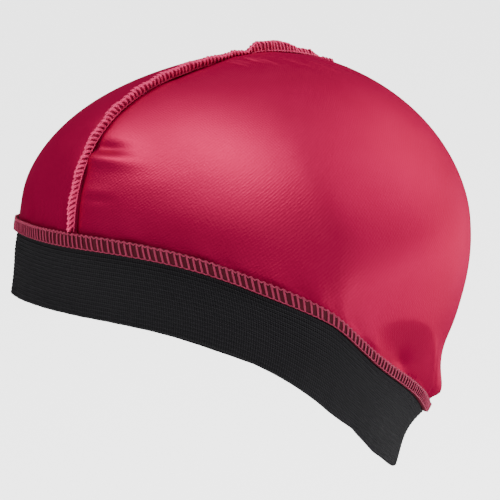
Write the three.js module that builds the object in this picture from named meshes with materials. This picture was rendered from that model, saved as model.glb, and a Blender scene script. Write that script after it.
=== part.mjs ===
import * as THREE from 'three';

// A satin wave cap with an elastic band, as it keeps its form on a head.
// Millimetres, +Z up, forehead toward -Y, the wearer's left toward +X.
// The origin is the inside of the crown top, where the cap sits on the head.

// Head form that the cap is stretched over
const crown_height = 69.5; // crown top above the widest level of the head
const front_reach = 83.5; // crown top forward to the forehead
const back_reach = 93; // crown top back to the back of the head
const half_breadth = 83; // middle plane out to the side of the head
const widest_forward = 22.5; // greatest breadth lies this far in front of the crown top
const temple_hollow = 2.1; // temples flatter than round above the widest level
const temple_flare = 3.4; // and wider than round below it

// Lower rim of the band, as heights from the widest level
const rim_drop = 51.7; // mean depth of the rim
const rim_slope = 52.5; // forehead above the mean, and nape below it
const rim_saddle = 5.7; // rim higher at the ears than at forehead and nape
const rim_bow = 1.5; // slope gentler at the forehead than toward the nape
const rim_left_drop = 8.8; // left side lower and right side higher, as the cap sits askew
const rim_twist_drop = 5.9; // that drop gathered toward the back of the head
const rim_ear_drop = 1.5; // rim lower just behind the ears

// Cloth and sewing
const satin_wall = 1.2;
const elastic_width = 25.4;
const elastic_wall = 1.5;
const band_seam_height = 5;
const band_seam_nape_height = 3.2; // the same seam sewn narrower behind the ears
const band_seam_wall = 1.7;
const fin_height = 4.6; // overlocked edges that stand up along the centre seam
const fin_wall = 2.2;
const fold_depth = 3.5; // deepest dent in the satin
const nape_hollow = 2; // the elastic bowed inward over the nape
const nape_flare = 1.9; // and its sewn edge standing out there
const gap = 0.3; // between pieces that are sewn together

// Roundness of the form: 2 is an ellipse, more is squarer, less is more pointed
const profile_power = { front: 2.95, back: 1.9, side: 1.74 };
const plan_power = { front: 1.92, back: 2.05, nape: 1.65 };
const plan_blend = { width: 0.6 }; // part of the cosine of the turn in which front passes into back

// Share of the reach gained or lost below the widest level
const low_taper = { front: -0.85, back: 0.09, side: 0.21 };
const nape = { level: 1.2 }; // share of crown_height below the widest level where its shape is full

const radians = (degrees) => (degrees * Math.PI) / 180;

// Where the temples change, as angles down from the crown top
const temple_drop = {
  hollow: radians(77),
  spread: radians(10),
  flare: radians(82),
  full: radians(114),
};

// Where the band runs steeply down the side of the head it covers more of the way up:
// most is the share gained, the rest are angles round the head from the forehead
const side_run = { most: 0.23, from: radians(52), full: radians(90), spent: radians(175) };

// Angles from the forehead: where the band seam narrows, where the rim dips behind the ear,
// and where the nape's hollow and flare begin and end. lift moves the hollow up the elastic,
// and rise is the share of the way up the crown over which the flare dies out.
const seam_narrows = { from: radians(55), to: radians(85) };
const ear_dip = { at: radians(98), spread: radians(10) };
const nape_turn = { from: radians(85), full: radians(115), fades: radians(145), end: radians(172) };
const nape_form = { lift: 1.36, rise: 0.25 };

// Broad dents and swells of the satin. side: 1 left panel, -1 right panel.
// turn and across in degrees round the head, up and along as shares of the way
// from the band to the crown top, depth as a share of fold_depth, outward positive.
const folds = [
  { name: 'nape dent', side: 1, turn: 104, up: 0.1, across: 9, along: 0.05, depth: -1.1 },
  { name: 'nape swell', side: 1, turn: 136, up: 0.05, across: 9, along: 0.026, depth: 1 },
  { name: 'nape waist', side: 1, turn: 132, up: 0.14, across: 12, along: 0.03, depth: -0.3 },
  { name: 'back fullness', side: 1, turn: 128, up: 0.33, across: 26, along: 0.09, depth: 0.35 },
  { name: 'brow ridge', side: 1, turn: 15, up: 0.4, across: 7.5, along: 0.04, depth: 0.45 },
  { name: 'brow hollow', side: 1, turn: 15, up: 0.48, across: 9, along: 0.05, depth: -0.5 },
  { name: 'far brow hollow', side: -1, turn: 22, up: 0.3, across: 12, along: 0.12, depth: -0.4 },
];

// The seam fin from the forehead (at 0) to the nape (at 1). height is a share of
// fin_height, lean is degrees toward the wearer's left, wave is a share of fin_wall.
const fin_stations = [
  { at: 0.0, height: 0.5, lean: -5, wave: 0.0 },
  { at: 0.09, height: 0.5, lean: 0, wave: 0.05 },
  { at: 0.14, height: 0.65, lean: 10, wave: 0.1 },
  { at: 0.19, height: 0.8, lean: 30, wave: 0.1 },
  { at: 0.26, height: 0.8, lean: 55, wave: 0.0 },
  { at: 0.35, height: 0.5, lean: 65, wave: 0.1 },
  { at: 0.385, height: 0.8, lean: 20, wave: 0.15 },
  { at: 0.42, height: 0.85, lean: 0, wave: 0.2 },
  { at: 0.46, height: 0.65, lean: -10, wave: 0.25 },
  { at: 0.52, height: 0.65, lean: -62, wave: 0.2 },
  { at: 0.62, height: 0.8, lean: -35, wave: 0.15 },
  { at: 0.75, height: 0.9, lean: 25, wave: 0.1 },
  { at: 1.0, height: 0.7, lean: 10, wave: 0.0 },
];
const fin_waves = 26; // ripples of the fin between forehead and nape
const fold_fade = { up: 0.03 }; // share of the way up over which folds rise from the band seam

// Fineness of the faceted surfaces
const panel_columns = 36;
const panel_rows = 20;
const ring_columns = 2 * panel_columns; // the rings turn their corners where the panels do
const band_rows = 3;
const fin_steps = 110;
const climb_steps = 40;

const smooth = (share) => share * share * (3 - 2 * share);
const clampShare = (value) => Math.min(Math.max(value, 0), 1);
const mix = (from, to, share) => from + (to - from) * share;
const risen = (value, from, to) => smooth(clampShare((value - from) / (to - from)));

// Distance from the crown axis to the form, drop being the angle down from the crown top
function reachAt(reach, power, taper, drop) {
  const rise = Math.max(Math.cos(drop), 0);
  const low = Math.max(drop - Math.PI / 2, 0);
  const round = Math.pow(Math.max(1 - Math.pow(rise, power), 0), 1 / power);
  return reach * round * (1 - taper * low * low);
}

function heightAt(drop) {
  if (drop < Math.PI / 2) return crown_height * Math.cos(drop);
  return -crown_height * (drop - Math.PI / 2);
}

function dropAtHeight(height) {
  if (height > 0) return Math.acos(Math.min(height / crown_height, 1));
  return Math.PI / 2 - height / crown_height;
}

// How much wider than round the form is at the temples, as a share of its width
function templeShare(turn, drop) {
  if (Math.cos(turn) < 0) return 0;
  const away = (drop - temple_drop.hollow) / temple_drop.spread;
  const hollow = temple_hollow * Math.exp(-away * away);
  const below = (drop - temple_drop.flare) / (temple_drop.full - temple_drop.flare);
  const flare = temple_flare * smooth(clampShare(below));
  return (Math.pow(Math.sin(2 * turn), 2) * (flare - hollow)) / half_breadth;
}

// A point of the head form, turn being the angle round it from the forehead to the left
function formPoint(turn, drop) {
  const front = reachAt(front_reach, profile_power.front, low_taper.front, drop);
  const back = reachAt(back_reach, profile_power.back, low_taper.back, drop);
  const side = reachAt(half_breadth, profile_power.side, low_taper.side, drop);
  const forward = widest_forward * Math.sin(Math.min(drop, Math.PI / 2));
  const low = smooth(clampShare((drop - Math.PI / 2) / nape.level));
  const ahead = Math.cos(turn);
  const aside = Math.sin(turn);
  const front_share = smooth(clampShare(0.5 + ahead / plan_blend.width));
  const back_power = mix(plan_power.back, plan_power.nape, low);
  const power = mix(back_power, plan_power.front, front_share);
  const length = mix(back + forward, front - forward, front_share);
  const wide = 1 + templeShare(turn, drop);
  const x = wide * side * Math.sign(aside) * Math.pow(Math.abs(aside), 2 / power);
  const out = wide * length * Math.sign(ahead) * Math.pow(Math.abs(ahead), 2 / power);
  return new THREE.Vector3(x, -forward - out, heightAt(drop));
}

function formNormal(turn, drop) {
  const step = 0.01;
  const low = Math.max(drop, 2 * step);
  const along = formPoint(turn + step, low).sub(formPoint(turn - step, low));
  const down = formPoint(turn, low + step).sub(formPoint(turn, low - step));
  return down.cross(along).normalize();
}

// The form moved outward by offset, and down so that the origin is inside the crown top
function surfacePoint(turn, drop, offset) {
  const point = formPoint(turn, drop).addScaledVector(formNormal(turn, drop), offset);
  point.z -= crown_height - satin_wall;
  return point;
}

function rimHeight(turn) {
  const level = rim_slope * Math.cos(turn) - rim_drop;
  const curve = rim_saddle * Math.cos(2 * turn) + rim_bow * Math.cos(3 * turn);
  const askew = rim_left_drop * Math.sin(turn) - rim_twist_drop * Math.sin(2 * turn);
  const away = (Math.abs(turn) - ear_dip.at) / ear_dip.spread;
  return level - curve - askew - rim_ear_drop * Math.exp(-away * away);
}

// Height of the band seam at an angle round the head
function seamHeight(turn) {
  const narrow = risen(Math.abs(turn), seam_narrows.from, seam_narrows.to);
  return mix(band_seam_height, band_seam_nape_height, narrow);
}

// How much longer the way up the form is than square across the band
function sideRun(turn) {
  const away = Math.abs(turn);
  const gained = risen(away, side_run.from, side_run.full);
  return 1 + side_run.most * gained * (1 - risen(away, side_run.full, side_run.spent));
}

// How much of the nape's form shows at an angle round the head
function napeShare(turn) {
  const away = Math.abs(turn);
  const begun = risen(away, nape_turn.from, nape_turn.full);
  return begun * (1 - risen(away, nape_turn.fades, nape_turn.end));
}

// How far band and seam stand out over the nape at a distance above the rim
function bandOffset(turn, distance) {
  const share = Math.min(distance / elastic_width, 1);
  const hollow = nape_hollow * Math.sin(Math.PI * Math.pow(share, nape_form.lift));
  return napeShare(turn) * (nape_flare * share * share - hollow);
}

// The drop angle that lies a distance above the rim, measured square across the band
function climb(turn, distance) {
  const start = dropAtHeight(rimHeight(turn));
  const step = start / climb_steps;
  let left = distance * sideRun(turn);
  let drop = start;
  let here = formPoint(turn, drop);
  for (let i = 0; i < climb_steps; i += 1) {
    const next = formPoint(turn, drop - step);
    const length = next.distanceTo(here);
    if (length >= left) return drop - (step * left) / length;
    left -= length;
    drop -= step;
    here = next;
  }
  return 0;
}

// A closed body from lists of corner points and triangles
function solid(name, corners, triangles, material) {
  const geometry = new THREE.BufferGeometry();
  const positions = new Float32Array(corners.flatMap((corner) => corner.toArray()));
  geometry.setAttribute('position', new THREE.BufferAttribute(positions, 3));
  geometry.setIndex(triangles.flat());
  geometry.computeVertexNormals();
  const mesh = new THREE.Mesh(geometry, material);
  mesh.name = name;
  return mesh;
}

// A tube of rings that each have the same number of corners, open rings closed by caps
function ringBody(name, rings, closed, material) {
  const corners = rings.flat();
  const count = rings[0].length;
  const triangles = [];
  const steps = closed ? rings.length : rings.length - 1;
  for (let i = 0; i < steps; i += 1) {
    const here = i * count;
    const there = ((i + 1) % rings.length) * count;
    for (let j = 0; j < count; j += 1) {
      const next = (j + 1) % count;
      triangles.push([here + j, there + j, there + next]);
      triangles.push([here + j, there + next, here + next]);
    }
  }
  if (!closed) {
    const last = (rings.length - 1) * count;
    for (let j = 1; j < count - 1; j += 1) {
      triangles.push([0, j, j + 1]);
      triangles.push([last, last + j + 1, last + j]);
    }
  }
  return solid(name, corners, triangles, material);
}

// How far the folds and the nape's flare move the satin outward. The folds fade out above
// bare, the share of the way up where the band seam ends.
function foldOffset(side, turn, up, bare) {
  const fade = smooth(clampShare((up - bare) / fold_fade.up));
  let offset = 0;
  for (const fold of folds.filter((row) => row.side === side)) {
    const a = (Math.abs(turn) - radians(fold.turn)) / radians(fold.across);
    const b = (up - fold.up) / fold.along;
    offset += fold_depth * fold.depth * Math.exp(-(a * a + b * b) / 2);
  }
  const flare = nape_flare * napeShare(turn) * (1 - smooth(clampShare(up / nape_form.rise)));
  return offset * fade + flare;
}

// One satin panel: an outer and an inner skin that meet at the seam and at the band.
// Its last row of facets lies behind the band seam.
function crownPanel(name, side, material) {
  const corners = [];
  const triangles = [];
  const skins = [0, -satin_wall];
  const keep = (point) => {
    point.x = side * Math.max(side * point.x, gap / 2);
    corners.push(point);
    return corners.length - 1;
  };
  const grids = skins.map((offset) => {
    const top = keep(new THREE.Vector3(0, 0, satin_wall + offset));
    const grid = [];
    for (let i = 0; i <= panel_columns; i += 1) {
      const turn = (side * Math.PI * i) / panel_columns;
      const low = climb(turn, elastic_width + gap);
      const bare = 1 - climb(turn, elastic_width + seamHeight(turn) + gap) / low;
      const column = [top];
      for (let j = 1; j <= panel_rows; j += 1) {
        const share = j < panel_rows ? ((1 - bare) * j) / (panel_rows - 1) : 1;
        const fold = foldOffset(side, turn, 1 - share, bare);
        column.push(keep(surfacePoint(turn, low * share, fold + offset)));
      }
      grid.push(column);
    }
    return grid;
  });
  const [outer, inner] = grids;
  const face = (a, b, c) => triangles.push(side > 0 ? [a, b, c] : [a, c, b]);
  const quad = (a, b, c, d) => {
    face(a, b, c);
    if (d !== c) face(a, c, d);
  };
  for (let i = 0; i < panel_columns; i += 1) {
    for (let j = 0; j < panel_rows; j += 1) {
      const [a, b, c, d] = [outer[i][j + 1], outer[i + 1][j + 1], outer[i + 1][j], outer[i][j]];
      quad(a, b, c, d);
      const [e, f, g, h] = [inner[i][j + 1], inner[i][j], inner[i + 1][j], inner[i + 1][j + 1]];
      face(e, g, h);
      if (f !== g) face(e, f, g);
    }
    const last = panel_rows;
    quad(outer[i][last], inner[i][last], inner[i + 1][last], outer[i + 1][last]);
  }
  for (let j = 0; j < panel_rows; j += 1) {
    quad(outer[0][j], inner[0][j], inner[0][j + 1], outer[0][j + 1]);
    const edge = panel_columns;
    quad(outer[edge][j + 1], inner[edge][j + 1], inner[edge][j], outer[edge][j]);
  }
  return solid(name, corners, triangles, material);
}

// A closed ring of cloth round the head, from low to a height above the rim given by highAt
function clothRing(name, low, highAt, rows, inside, outside, material) {
  const rings = [];
  for (let i = 0; i < ring_columns; i += 1) {
    const turn = Math.PI * ((2 * i) / ring_columns - 1);
    const place = (j, offset) => {
      const distance = mix(low, highAt(turn), j / rows);
      const drop = climb(turn, distance);
      return surfacePoint(turn, drop, offset + bandOffset(turn, distance));
    };
    const ring = [];
    for (let j = 0; j <= rows; j += 1) ring.push(place(j, outside));
    for (let j = rows; j >= 0; j -= 1) ring.push(place(j, inside));
    rings.push(ring);
  }
  return ringBody(name, rings, true, material);
}

// Value of one column of the fin table at a share of the way to the nape
function finValue(column, at) {
  let i = 0;
  while (i < fin_stations.length - 2 && at > fin_stations[i + 1].at) i += 1;
  const [from, to] = [fin_stations[i], fin_stations[i + 1]];
  const share = smooth(clampShare((at - from.at) / (to.at - from.at)));
  return from[column] + (to[column] - from[column]) * share;
}

// Points of the middle plane over the crown, evenly spaced from one seam end to the other
function seamPath() {
  const samples = [];
  const fine = 400;
  for (const [turn, sign] of [[0, 1], [Math.PI, -1]]) {
    const low = climb(turn, elastic_width + seamHeight(turn) + 2 * gap);
    const half = [];
    for (let i = 0; i <= fine; i += 1) half.push({ turn, drop: (low * i) / fine });
    samples.push(...(sign > 0 ? half.reverse() : half.slice(1)));
  }
  const points = samples.map(({ turn, drop }) => surfacePoint(turn, drop, 0).setX(0));
  const path = new THREE.CatmullRomCurve3(points);
  path.arcLengthDivisions = 2 * fine;
  return path.getSpacedPoints(fin_steps);
}

// The overlocked edges of both panels, sewn together and standing outside along the seam
function seamFin(name, material) {
  const path = seamPath();
  const aside = new THREE.Vector3(1, 0, 0);
  const rings = path.map((point, i) => {
    const at = i / fin_steps;
    const ahead = path[Math.min(i + 1, fin_steps)].clone();
    ahead.sub(path[Math.max(i - 1, 0)]).normalize();
    const out = aside.clone().cross(ahead).normalize();
    const ripple = Math.sin(at * fin_waves * 2 * Math.PI) * finValue('wave', at);
    const lean = radians(finValue('lean', at));
    const height = fin_height * finValue('height', at);
    const rise = out.clone().multiplyScalar(Math.cos(lean)).addScaledVector(aside, Math.sin(lean));
    const thick = aside.clone().multiplyScalar(Math.cos(lean));
    thick.addScaledVector(out, -Math.sin(lean));
    const lift = gap + (Math.abs(Math.sin(lean)) * fin_wall) / 2;
    const root = point.clone().addScaledVector(out, lift);
    const tip = root.clone().addScaledVector(rise, height);
    tip.addScaledVector(thick, ripple * fin_wall);
    const half = fin_wall / 2;
    return [
      root.clone().addScaledVector(thick, -half),
      root.clone().addScaledVector(thick, half),
      root.clone().lerp(tip, 0.7).addScaledVector(thick, half),
      tip.clone().addScaledVector(thick, half / 2),
      tip.clone().addScaledVector(thick, -half / 2),
      root.clone().lerp(tip, 0.7).addScaledVector(thick, -half),
    ];
  });
  return ringBody(name, rings, false, material);
}

const satin = new THREE.MeshStandardMaterial({ color: 0xb32347, roughness: 0.38, metalness: 0 });
const elastic = new THREE.MeshStandardMaterial({ color: 0x17171a, roughness: 0.85, metalness: 0 });
const thread = new THREE.MeshStandardMaterial({ color: 0xb5526b, roughness: 0.6, metalness: 0 });

const wave_cap = new THREE.Group();
wave_cap.add(crownPanel('crown_left', 1, satin));
wave_cap.add(crownPanel('crown_right', -1, satin));
wave_cap.add(seamFin('centre_seam', thread));
const band_top = () => elastic_width;
const seam_top = (turn) => elastic_width + seamHeight(turn);
wave_cap.add(clothRing('band', 0, band_top, band_rows, -elastic_wall, 0, elastic));
wave_cap.add(
  clothRing('band_seam', elastic_width, seam_top, 2, gap, gap + band_seam_wall, thread),
);

export default wave_cap;
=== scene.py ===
import math

import bpy
import numpy as np
from mathutils import Matrix, Vector


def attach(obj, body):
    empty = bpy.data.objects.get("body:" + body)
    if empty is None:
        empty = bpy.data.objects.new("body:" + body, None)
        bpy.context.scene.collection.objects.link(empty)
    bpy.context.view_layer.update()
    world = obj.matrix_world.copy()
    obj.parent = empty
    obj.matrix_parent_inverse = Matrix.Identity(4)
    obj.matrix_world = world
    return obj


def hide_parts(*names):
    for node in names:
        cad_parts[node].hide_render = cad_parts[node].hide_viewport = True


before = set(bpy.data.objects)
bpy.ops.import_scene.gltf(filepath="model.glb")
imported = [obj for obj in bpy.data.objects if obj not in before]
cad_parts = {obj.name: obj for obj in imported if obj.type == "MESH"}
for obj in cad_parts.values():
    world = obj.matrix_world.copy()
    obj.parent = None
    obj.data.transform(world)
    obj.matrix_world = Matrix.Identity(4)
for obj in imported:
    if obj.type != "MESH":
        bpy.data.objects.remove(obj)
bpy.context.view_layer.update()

# Sizes are in millimetres in the tables and functions below, and in metres in the meshes,
# the lights, the camera and the materials.
MM = 0.001
DEGREE = math.pi / 180
HALF_TURN = math.pi


def table(columns, *rows):
    """Rows of values as records with the named columns."""
    return [dict(zip(columns.split(), row)) for row in rows]


def column(rows, name):
    """One column of a table as an array."""
    return np.array([row[name] for row in rows], float)


# The head form that the cap is stretched over, the same as in the part's source
CROWN_HEIGHT = 69.5
FRONT_REACH = 83.5
BACK_REACH = 93
HALF_BREADTH = 83
WIDEST_FORWARD = 22.5
TEMPLE_HOLLOW = 2.1
TEMPLE_FLARE = 3.4
RIM_DROP = 51.7
RIM_SLOPE = 52.5
RIM_SADDLE = 5.7
RIM_BOW = 1.5
RIM_LEFT_DROP = 8.8
RIM_TWIST_DROP = 5.9
RIM_EAR_DROP = 1.5
TEMPLE_DROP = {
    "hollow": 77 * DEGREE,
    "spread": 10 * DEGREE,
    "flare": 82 * DEGREE,
    "full": 114 * DEGREE,
}
PROFILE_POWER = {"front": 2.95, "back": 1.9, "side": 1.74}
PLAN_POWER = {"front": 1.92, "back": 2.05, "nape": 1.65}
LOW_TAPER = {"front": -0.85, "back": 0.09, "side": 0.21}
PLAN_BLEND = 0.6
NAPE_LEVEL = 1.2
SIDE_RUN = {"most": 0.23, "from": 52 * DEGREE, "full": 90 * DEGREE, "spent": 175 * DEGREE}
SEAM_NARROWS = {"from": 55 * DEGREE, "to": 85 * DEGREE}
EAR_DIP = {"at": 98 * DEGREE, "spread": 10 * DEGREE}
NAPE_TURN = {"from": 85 * DEGREE, "full": 115 * DEGREE, "fades": 145 * DEGREE, "end": 172 * DEGREE}
NAPE_FORM = {"lift": 1.36, "rise": 0.25}

# Cloth and sewing
SATIN_WALL = 1.2
ELASTIC_WIDTH = 25.4
ELASTIC_WALL = 1.5
BAND_SEAM_HEIGHT = 5
BAND_SEAM_NAPE_HEIGHT = 3.2
BAND_SEAM_WALL = 1.7
FIN_HEIGHT = 4.6
FIN_WALL = 2.2
FOLD_DEPTH = 3.5
FOLD_FADE = 0.03
NAPE_HOLLOW = 2
NAPE_FLARE = 1.9
GAP = 0.3
FIN_WAVES = 26
FIN_FINE_WAVE = {"share": 0.4, "rate": 2.7, "phase": 1}
FIN_RIPPLE = 0.12  # ripple that the whole fin has, as a share of FIN_WALL
FIN_BELLY = 0.62  # widest share of FIN_WALL / 2 above the root
SATIN_TUCK = 0.05  # the satin ends this far above the elastic
CROWN_TIP_SINK = 0.9
FLANGE_FOOT = 0.6  # the band seam's foot goes this deep into satin and elastic
MEAN_RADIUS = 84  # turns an angle round the head into a length along the band

# The satin panels opened out flat: centre of the opening and its radius
CLOTH_CENTRE = np.array([0, 0, -60])
CLOTH_RADIUS = 88

# How far the cloth of one face lies from the other's, for the grain of the sewn edges
FLANGE_CLOTH_SHIFT = 3
FIN_CLOTH_SHIFT = 0.2  # for each millimetre across the fin

# How the satin is drawn in beside the centre seam. travel is the place along the seam, less
# toward the forehead.
SEAM_DRAW = table("depth reach", (0.4, 3.4), (0.2, 1.9))
BROW_DRAW = {"depth": 1.6, "reach": 1.9, "travel": -85, "over": 30}
CROWN_DRAW = {"depth": 0.9, "reach": 6, "travel": -25, "spread": 14}
PUCKER = {"depth": 0.22, "least": 0.6, "reach": 5, "more_reach": 4}
GATHER = {"depth": 0.16, "height": 7, "begins": 2}

# The form of a firm fold and the ends of a crease
FIRM_FOLD = {"blunt": 0.04, "reach": 2, "curve": 1.2}
CREASE_END_FADE = 1.4

# The band seam's sewn edges: their least and further height off the cap as shares of
# BAND_SEAM_WALL, how late the further height begins, its mean before the waves, and the share
# of the seam's height that its foot takes
FLANGE_FORM = {"least": 0.55, "further": 0.3, "late": 1.5, "mean": 0.5, "foot": 0.1}

# Waves along a seam that are added up. run is the length that a wave takes for each radian.
PUCKER_WAVES = table("share run phase", (1, 6.3, 1), (0.7, 2.9, 2))
PUCKER_SWELL = table("share run phase", (0.4, 23, 1))
PUCKER_SPREAD = table("share run phase", (1, 17, 2))
GATHER_WAVES = table("share run phase", (1, 4.1, 0), (0.8, 2.3, 1), (0.6, 9.7, 0))
FLANGE_WAVES = table("share run phase", (0.3, 5.1, 0), (0.2, 2.2, 2))

# The elastic: depth of the grooves between its ribs and of its rounded edges, and the waves of
# its rim, of which count go round the head
GROOVE_DEPTH = 0.2
RIB_ROUND = 0.7
EDGE_DEPTH = 0.35
EDGE_SHARE = 0.02
RIM_WAVES = table("depth count phase", (0.12, 61, 0), (0.1, 23, 1))
RIM_WAVE_FADE = 3

# Threads
SEAM_PITCH = 1.75  # one stitch to the next along the centre seam
SEAM_THREAD = 0.46
SEAM_EDGE_THREAD = 0.3
SEAM_FOOT_THREAD = 0.26
BAND_PITCH = 2.35  # and along the band seam
BAND_THREAD = 0.4
BAND_LINES = table("across radius wander", (0.03, 0.18, 0.03), (0.96, 0.25, 0.07))
BAND_LINE_LIFT = {"mean": 0.08, "swing": 0.1}
BAND_MEASURE_LIFT = 2  # the stitches are spaced along a line this far off the elastic

# A stitch of each seam. uneven is how much the spacing varies, as a share of the pitch, and
# stray how far a stitch strays along the seam. The band's slants are millimetres from one end
# of a stitch to the other, and the centre seam's slant and bend are shares of its pitch.
BAND_STITCH = {
    "uneven": 0.07,
    "stray": 0.08,
    "front_slant": -0.2,
    "nape_slant": 0.7,
    "from": 0.06,
    "reach": 0.9,
    "lift": 0.12,
    "arch": 0.16,
    "tuck": 0.25,
    "tucked_from": 0.95,
    "flatness": 0.55,
}
SEAM_STITCH = {
    "uneven": 0.06,
    "stray": 0.06,
    "slant": 0.55,
    "bend": 0.3,
    "top": 1.02,
    "drop": 0.9,
    "late": 1.6,
    "steep": 4,
    "lift": 0.1,
    "rise_share": 0.2,
    "flatness": 0.6,
}
SEAM_LINE = {"foot": 0.12, "foot_wander": 0.04, "foot_lift": 0.15, "edge_wander": 0.35}

# Colours, from dark to light
SATIN_COLOURS = (0.4, 0.0075, 0.056), (0.48, 0.01, 0.074)
CENTRE_EDGE_COLOURS = (0.2, 0.005, 0.03), (0.32, 0.008, 0.05)
BAND_EDGE_COLOURS = (0.03, 0.001, 0.005), (0.07, 0.002, 0.01)
# One seam thread in two copies: lighter on the centre seam over the crown top and darker on the band
# seam low down, the difference painted light and painted shade
BRIGHT_THREAD_COLOURS = (0.6, 0.022, 0.1), (0.85, 0.055, 0.2)
SHADED_THREAD_COLOURS = (0.17, 0.012, 0.035), (0.3, 0.033, 0.075)
ELASTIC_COLOURS = (0.0065, 0.0063, 0.007), (0.0165, 0.0158, 0.0172)
FLOOR_COLOURS = (0.88, 0.88, 0.88), (0.9, 0.9, 0.9)

# Where the photograph was taken from, and how large it shows the cap
CAMERA_AZIMUTH = 46
CAMERA_ELEVATION = 16
CAMERA_ROLL = -4.84
CAMERA_DISTANCE = 0.771
CAMERA_PIVOT = Vector((0, 0.0051, -0.0581))
FOCAL_PIXELS = 2043
PIVOT_RIGHT = 2.4
PIVOT_ABOVE = 42.6
FRAME_PIXELS = 500
SENSOR_WIDTH = 36

FLOOR_Z = -0.5
FLOOR_SIZE = 80
FLOOR_GLOW = 3
WORLD_GLOW = 0.12

# Softboxes, each placed as the camera is, by azimuth, elevation and distance
LIGHTS = table(
    "name azimuth elevation distance width height power",
    ("key", 105, 80, 1.2, 0.6, 0.6, 12.5),
    ("left", -36, 60, 1.3, 0.35, 0.35, 10),
    ("rim", 168, 22, 1.4, 0.8, 0.8, 9.5),
    ("front", 50, 45, 1.6, 0.8, 0.5, 4),
    ("low back", 165, -15, 0.8, 0.8, 0.4, 3),
    ("low side", 108, -12, 0.9, 0.6, 0.25, 2.2),
)


def direction(azimuth, elevation):
    """From the cap toward a place given by azimuth and elevation in degrees."""
    a, e = azimuth * DEGREE, elevation * DEGREE
    return Vector((math.sin(a) * math.cos(e), -math.cos(a) * math.cos(e), math.sin(e)))


def make_camera():
    """The photograph's viewpoint, with the pivot where the photograph shows it."""
    a = CAMERA_AZIMUTH * DEGREE
    back = direction(CAMERA_AZIMUTH, CAMERA_ELEVATION)
    level = Vector((math.cos(a), math.sin(a), 0))
    upright = back.cross(level)
    r = CAMERA_ROLL * DEGREE
    right = level * math.cos(r) + upright * math.sin(r)
    up = upright * math.cos(r) - level * math.sin(r)
    look = -back * FOCAL_PIXELS - right * PIVOT_RIGHT - up * PIVOT_ABOVE
    behind = -look.normalized()
    right = up.cross(behind).normalized()
    up = behind.cross(right)
    data = bpy.data.cameras.new("camera")
    data.sensor_width = SENSOR_WIDTH
    data.lens = data.sensor_width * FOCAL_PIXELS / FRAME_PIXELS
    camera = bpy.data.objects.new("camera", data)
    bpy.context.collection.objects.link(camera)
    turned = Matrix((right, up, behind)).transposed().to_4x4()
    camera.matrix_world = Matrix.Translation(CAMERA_PIVOT + back * CAMERA_DISTANCE) @ turned
    bpy.context.scene.camera = camera


def softbox(row):
    """A white area light that faces the cap."""
    back = direction(row["azimuth"], row["elevation"])
    data = bpy.data.lights.new(row["name"], "AREA")
    data.shape = "RECTANGLE"
    data.size = row["width"]
    data.size_y = row["height"]
    data.energy = row["power"]
    light = bpy.data.objects.new(row["name"], data)
    light.location = CAMERA_PIVOT + back * row["distance"]
    light.rotation_euler = back.to_track_quat("Z", "Y").to_euler()
    bpy.context.collection.objects.link(light)


def smooth(share):
    """Eases a share in and out."""
    return share * share * (3 - 2 * share)


def clamp_share(value):
    return np.clip(value, 0, 1)


def mix(start, end, share):
    return start + (end - start) * share


def risen(value, start, end):
    """0 up to start, 1 from end, and smooth between."""
    return smooth(clamp_share((value - start) / (end - start)))


def reach_at(reach, power, taper, drop):
    """How far one side of the form stands out at a drop angle."""
    rise = np.maximum(np.cos(drop), 0)
    low = np.maximum(drop - HALF_TURN / 2, 0)
    rounded = np.maximum(1 - rise**power, 0) ** (1 / power)
    return reach * rounded * (1 - taper * low * low)


def height_at(drop):
    """Height at a drop angle: on an arc down to the widest level, straight below."""
    above = CROWN_HEIGHT * np.cos(drop)
    below = -CROWN_HEIGHT * (drop - HALF_TURN / 2)
    return np.where(drop < HALF_TURN / 2, above, below)


def drop_at_height(height):
    """The drop angle that height_at takes to a height."""
    above = np.arccos(np.clip(height / CROWN_HEIGHT, -1, 1))
    return np.where(height > 0, above, HALF_TURN / 2 - height / CROWN_HEIGHT)


def temple_share(turn, drop):
    """How much wider than round the form is at the temples, as a share of its width."""
    away = (drop - TEMPLE_DROP["hollow"]) / TEMPLE_DROP["spread"]
    hollow = TEMPLE_HOLLOW * np.exp(-away * away)
    below = (drop - TEMPLE_DROP["flare"]) / (TEMPLE_DROP["full"] - TEMPLE_DROP["flare"])
    flare = TEMPLE_FLARE * smooth(clamp_share(below))
    beside = np.where(np.cos(turn) > 0, np.sin(2 * turn) ** 2, 0)
    return beside * (flare - hollow) / HALF_BREADTH


def form_point(turn, drop):
    """A point of the head form: turn is the angle round it, drop the angle down from the top."""
    turn, drop = np.broadcast_arrays(turn, drop)
    front = reach_at(FRONT_REACH, PROFILE_POWER["front"], LOW_TAPER["front"], drop)
    back = reach_at(BACK_REACH, PROFILE_POWER["back"], LOW_TAPER["back"], drop)
    side = reach_at(HALF_BREADTH, PROFILE_POWER["side"], LOW_TAPER["side"], drop)
    forward = WIDEST_FORWARD * np.sin(np.minimum(drop, HALF_TURN / 2))
    low = smooth(clamp_share((drop - HALF_TURN / 2) / NAPE_LEVEL))
    ahead, aside = np.cos(turn), np.sin(turn)
    front_share = smooth(clamp_share(0.5 + ahead / PLAN_BLEND))
    back_power = mix(PLAN_POWER["back"], PLAN_POWER["nape"], low)
    power = mix(back_power, PLAN_POWER["front"], front_share)
    length = mix(back + forward, front - forward, front_share)
    wide = 1 + temple_share(turn, drop)
    x = wide * side * np.sign(aside) * np.abs(aside) ** (2 / power)
    out = wide * length * np.sign(ahead) * np.abs(ahead) ** (2 / power)
    return np.stack([x, -forward - out, height_at(drop)], -1)


def unit(v):
    return v / np.maximum(np.linalg.norm(v, axis=-1, keepdims=True), 1e-9)


def form_normal(turn, drop):
    """Direction outward from the head form."""
    step = 0.01
    low = np.maximum(drop, 2 * step)
    along = form_point(turn + step, low) - form_point(turn - step, low)
    down = form_point(turn, low + step) - form_point(turn, low - step)
    return unit(np.cross(down, along))


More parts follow.
